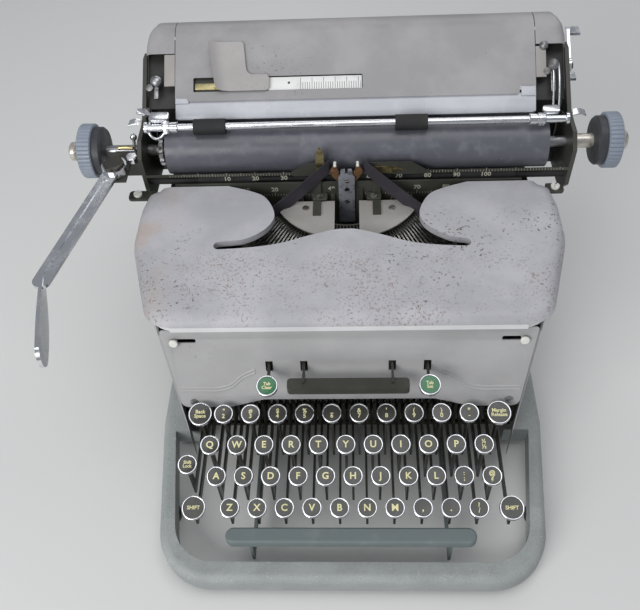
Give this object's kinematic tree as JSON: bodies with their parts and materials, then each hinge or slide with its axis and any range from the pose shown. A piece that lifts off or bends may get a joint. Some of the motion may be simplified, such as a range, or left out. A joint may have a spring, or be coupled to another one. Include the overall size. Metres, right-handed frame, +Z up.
{
  "type": "typewriter",
  "caption": "Manual office typewriter with rounded grey housing, typebar basket, ribbed platen knobs, paper table and a long carriage return lever.",
  "frame": {"origin": "on the surface it stands on, under the middle of its overall box; X = 0 is the plane of symmetry of the keyboard and housing", "axes": "+X to the typist's right, +Y to the back, +Z up"},
  "size_m": [0.4153, 0.3564, 0.2513],
  "materials": {
    "housing_paint": "satin",
    "base_paint": "matte",
    "dark_metal": "satin",
    "steel": "satin",
    "chrome": "polished",
    "brass": "satin",
    "rubber": "matte",
    "knob_plastic": "satin",
    "key_plastic": "gloss",
    "green_plastic": "gloss",
    "ribbon_fabric": "matte"
  },
  "bodies": {
    "chassis": {"base_frame": "base_paint", "rubber_feet": "rubber", "inner_frame": "dark_metal", "side_panels": "housing_paint", "front_panel": "housing_paint", "top_cover": "housing_paint", "rear_panel": "housing_paint", "type_segment": "dark_metal", "segment_covers": "housing_paint", "typebars": "steel", "type_guide": "dark_metal", "ribbon": "ribbon_fabric", "card_holder": "dark_metal", "front_scale": "dark_metal", "carriage_rail": "steel", "key_comb": "dark_metal"},
    "vibrator": {"ribbon_vibrator": "steel"},
    "spool_left": {"ribbon_spool_left": "dark_metal"},
    "spool_right": {"ribbon_spool_right": "dark_metal"},
    "finger_left": {"card_finger_left": "brass"},
    "finger_right": {"card_finger_right": "brass"},
    "bottom_row": {"bottom_row_keys": "key_plastic", "bottom_row_levers": "dark_metal"},
    "home_row": {"home_row_keys": "key_plastic", "home_row_levers": "dark_metal"},
    "upper_row": {"upper_row_keys": "key_plastic", "upper_row_levers": "dark_metal"},
    "number_row": {"number_row_keys": "key_plastic", "number_row_levers": "dark_metal"},
    "back_space": {"back_space_key": "key_plastic"},
    "margin_release": {"margin_release_key": "key_plastic"},
    "shift_lock": {"shift_lock_key": "key_plastic"},
    "shift": {"shift_keys": "key_plastic"},
    "space": {"space_bar": "knob_plastic"},
    "tabulator": {"tabulator_bar": "dark_metal"},
    "tab_clear": {"tab_clear_key": "green_plastic"},
    "tab_set": {"tab_set_key": "green_plastic"},
    "colour_selector": {"ribbon_selector": "dark_metal"},
    "reverse_lever": {"ribbon_reverse": "dark_metal"},
    "drum": {"spring_drum": "steel"},
    "carriage": {"carriage_frame": "dark_metal", "carriage_scale": "dark_metal", "paper_table": "housing_paint", "paper_table_ends": "housing_paint", "paper_deflector": "housing_paint", "line_space_housing": "dark_metal"},
    "platen_roll": {"platen": "rubber", "platen_shaft": "steel", "knob_left": "knob_plastic", "knob_right": "knob_plastic"},
    "feed_front": {"feed_roller_front": "rubber"},
    "feed_rear": {"feed_roller_rear": "rubber"},
    "bail": {"paper_bail": "chrome"},
    "bail_roll": {"bail_rollers": "rubber"},
    "line_lever": {"return_lever": "chrome"},
    "release_left": {"carriage_release_left": "chrome"},
    "release_right": {"carriage_release_right": "chrome"},
    "margin": {"margin_lever": "chrome"},
    "paper_release": {"paper_release_lever": "chrome"},
    "edge_guide": {"paper_guide": "housing_paint"}
  },
  "joints": [
    {"name": "carriage_travel", "type": "slide", "parent": "chassis", "child": "carriage", "axis": [1, 0, 0], "range_m": [-0.125, 0.125]},
    {"name": "platen_turn", "type": "hinge", "parent": "carriage", "child": "platen_roll", "pos_m": [0, 0.0896, 0.1886], "axis": [1, 0, 0], "continuous": true},
    {"name": "feed_front_turn", "type": "hinge", "parent": "carriage", "child": "feed_front", "pos_m": [0, 0.07606, 0.16927], "axis": [1, 0, 0], "continuous": true},
    {"name": "feed_rear_turn", "type": "hinge", "parent": "carriage", "child": "feed_rear", "pos_m": [0, 0.10314, 0.16927], "axis": [1, 0, 0], "continuous": true},
    {"name": "bail_lift", "type": "hinge", "parent": "carriage", "child": "bail", "pos_m": [0, 0.112, 0.197], "axis": [-1, 0, 0], "range_deg": [0, 30]},
    {"name": "bail_roll_turn", "type": "hinge", "parent": "bail", "child": "bail_roll", "pos_m": [0, 0.0844, 0.2127], "axis": [1, 0, 0], "continuous": true},
    {"name": "return_lever_swing", "type": "hinge", "parent": "carriage", "child": "line_lever", "pos_m": [-0.167, 0.058, 0.197], "axis": [0, 0, 1], "range_deg": [0, 45], "stiffness_Nm_per_rad": 0.6, "springref_deg": -20.05},
    {"name": "carriage_release_left_press", "type": "hinge", "parent": "carriage", "child": "release_left", "pos_m": [-0.153, 0.112, 0.172], "axis": [-1, 0, 0], "range_deg": [0, 12], "stiffness_Nm_per_rad": 0.3, "springref_deg": -17.19},
    {"name": "carriage_release_right_press", "type": "hinge", "parent": "carriage", "child": "release_right", "pos_m": [0.165, 0.112, 0.172], "axis": [-1, 0, 0], "range_deg": [0, 12], "stiffness_Nm_per_rad": 0.3, "springref_deg": -17.19},
    {"name": "margin_lever_lift", "type": "hinge", "parent": "carriage", "child": "margin", "pos_m": [0.165, 0.135, 0.222], "axis": [1, 0, 0], "range_deg": [0, 25], "stiffness_Nm_per_rad": 0.05, "springref_deg": -17.19},
    {"name": "paper_release_lift", "type": "hinge", "parent": "carriage", "child": "paper_release", "pos_m": [0.165, 0.12, 0.196], "axis": [1, 0, 0], "range_deg": [0, 15], "stiffness_Nm_per_rad": 0.05, "springref_deg": -17.19},
    {"name": "edge_guide_slide", "type": "slide", "parent": "carriage", "child": "edge_guide", "axis": [1, 0, 0], "range_m": [-0.02, 0.1]},
    {"name": "vibrator_lift", "type": "slide", "parent": "chassis", "child": "vibrator", "axis": [0, 0, 1], "range_m": [0, 0.008], "deforming": ["ribbon"]},
    {"name": "spool_left_turn", "type": "hinge", "parent": "chassis", "child": "spool_left", "pos_m": [-0.103, 0.025, 0.15], "axis": [0, 0, 1], "continuous": true},
    {"name": "spool_right_turn", "type": "hinge", "parent": "chassis", "child": "spool_right", "pos_m": [0.103, 0.025, 0.15], "axis": [0, 0, 1], "continuous": true},
    {"name": "finger_left_fold", "type": "hinge", "parent": "chassis", "child": "finger_left", "pos_m": [-0.019, 0.0645, 0.186], "axis": [0, -1, 0], "range_deg": [0, 90]},
    {"name": "finger_right_raise", "type": "hinge", "parent": "chassis", "child": "finger_right", "pos_m": [0.019, 0.0645, 0.186], "axis": [0, -1, 0], "range_deg": [0, 90]},
    {"name": "bottom_row_press", "type": "hinge", "parent": "chassis", "child": "bottom_row", "pos_m": [0, 0.1, 0.043], "axis": [1, 0, 0], "range_deg": [0, 3.6], "stiffness_Nm_per_rad": 3, "springref_deg": -11.46},
    {"name": "home_row_press", "type": "hinge", "parent": "chassis", "child": "home_row", "pos_m": [0, 0.1, 0.043], "axis": [1, 0, 0], "range_deg": [0, 3.6], "stiffness_Nm_per_rad": 3, "springref_deg": -11.46},
    {"name": "upper_row_press", "type": "hinge", "parent": "chassis", "child": "upper_row", "pos_m": [0, 0.1, 0.043], "axis": [1, 0, 0], "range_deg": [0, 3.6], "stiffness_Nm_per_rad": 3, "springref_deg": -11.46},
    {"name": "number_row_press", "type": "hinge", "parent": "chassis", "child": "number_row", "pos_m": [0, 0.1, 0.043], "axis": [1, 0, 0], "range_deg": [0, 3.6], "stiffness_Nm_per_rad": 3, "springref_deg": -11.46},
    {"name": "back_space_press", "type": "hinge", "parent": "chassis", "child": "back_space", "pos_m": [0, 0.1, 0.043], "axis": [1, 0, 0], "range_deg": [0, 3.6], "stiffness_Nm_per_rad": 0.5, "springref_deg": -11.46},
    {"name": "margin_release_press", "type": "hinge", "parent": "chassis", "child": "margin_release", "pos_m": [0, 0.1, 0.043], "axis": [1, 0, 0], "range_deg": [0, 3.6], "stiffness_Nm_per_rad": 0.5, "springref_deg": -11.46},
    {"name": "shift_lock_press", "type": "hinge", "parent": "chassis", "child": "shift_lock", "pos_m": [0, 0.1, 0.043], "axis": [1, 0, 0], "range_deg": [0, 3.6], "stiffness_Nm_per_rad": 0.5, "springref_deg": -11.46},
    {"name": "shift_press", "type": "hinge", "parent": "chassis", "child": "shift", "pos_m": [0, 0.1, 0.043], "axis": [1, 0, 0], "range_deg": [0, 3.2], "stiffness_Nm_per_rad": 1.5, "springref_deg": -11.46},
    {"name": "space_bar_press", "type": "hinge", "parent": "chassis", "child": "space", "pos_m": [0, -0.03, 0.016], "axis": [1, 0, 0], "range_deg": [0, 3.6], "stiffness_Nm_per_rad": 1.8, "springref_deg": -11.46},
    {"name": "tabulator_press", "type": "hinge", "parent": "chassis", "child": "tabulator", "pos_m": [0, -0.054, 0.127], "axis": [1, 0, 0], "range_deg": [0, 8], "stiffness_Nm_per_rad": 0.2, "springref_deg": -11.46},
    {"name": "tab_clear_press", "type": "hinge", "parent": "chassis", "child": "tab_clear", "pos_m": [-0.0538, -0.054, 0.127], "axis": [1, 0, 0], "range_deg": [0, 8], "stiffness_Nm_per_rad": 0.04, "springref_deg": -11.46},
    {"name": "tab_set_press", "type": "hinge", "parent": "chassis", "child": "tab_set", "pos_m": [0.0538, -0.054, 0.127], "axis": [1, 0, 0], "range_deg": [0, 8], "stiffness_Nm_per_rad": 0.04, "springref_deg": -11.46},
    {"name": "colour_selector_slide", "type": "slide", "parent": "chassis", "child": "colour_selector", "axis": [1, 0, 0], "range_m": [-0.012, 0]},
    {"name": "reverse_lever_slide", "type": "slide", "parent": "chassis", "child": "reverse_lever", "axis": [1, 0, 0], "range_m": [0, 0.012]},
    {"name": "drum_turn", "type": "hinge", "parent": "chassis", "child": "drum", "pos_m": [-0.088, 0.13, 0.092], "axis": [0, 1, 0], "range_deg": [-300, 300]}
  ],
  "couplings": [
    {"joint": "feed_front_turn", "follows": "platen_turn", "ratio": -3.66},
    {"joint": "feed_rear_turn", "follows": "platen_turn", "ratio": -3.66},
    {"joint": "spool_right_turn", "follows": "spool_left_turn", "ratio": 1},
    {"joint": "drum_turn", "follows": "carriage_travel", "rad_per_m": 40}
  ]
}
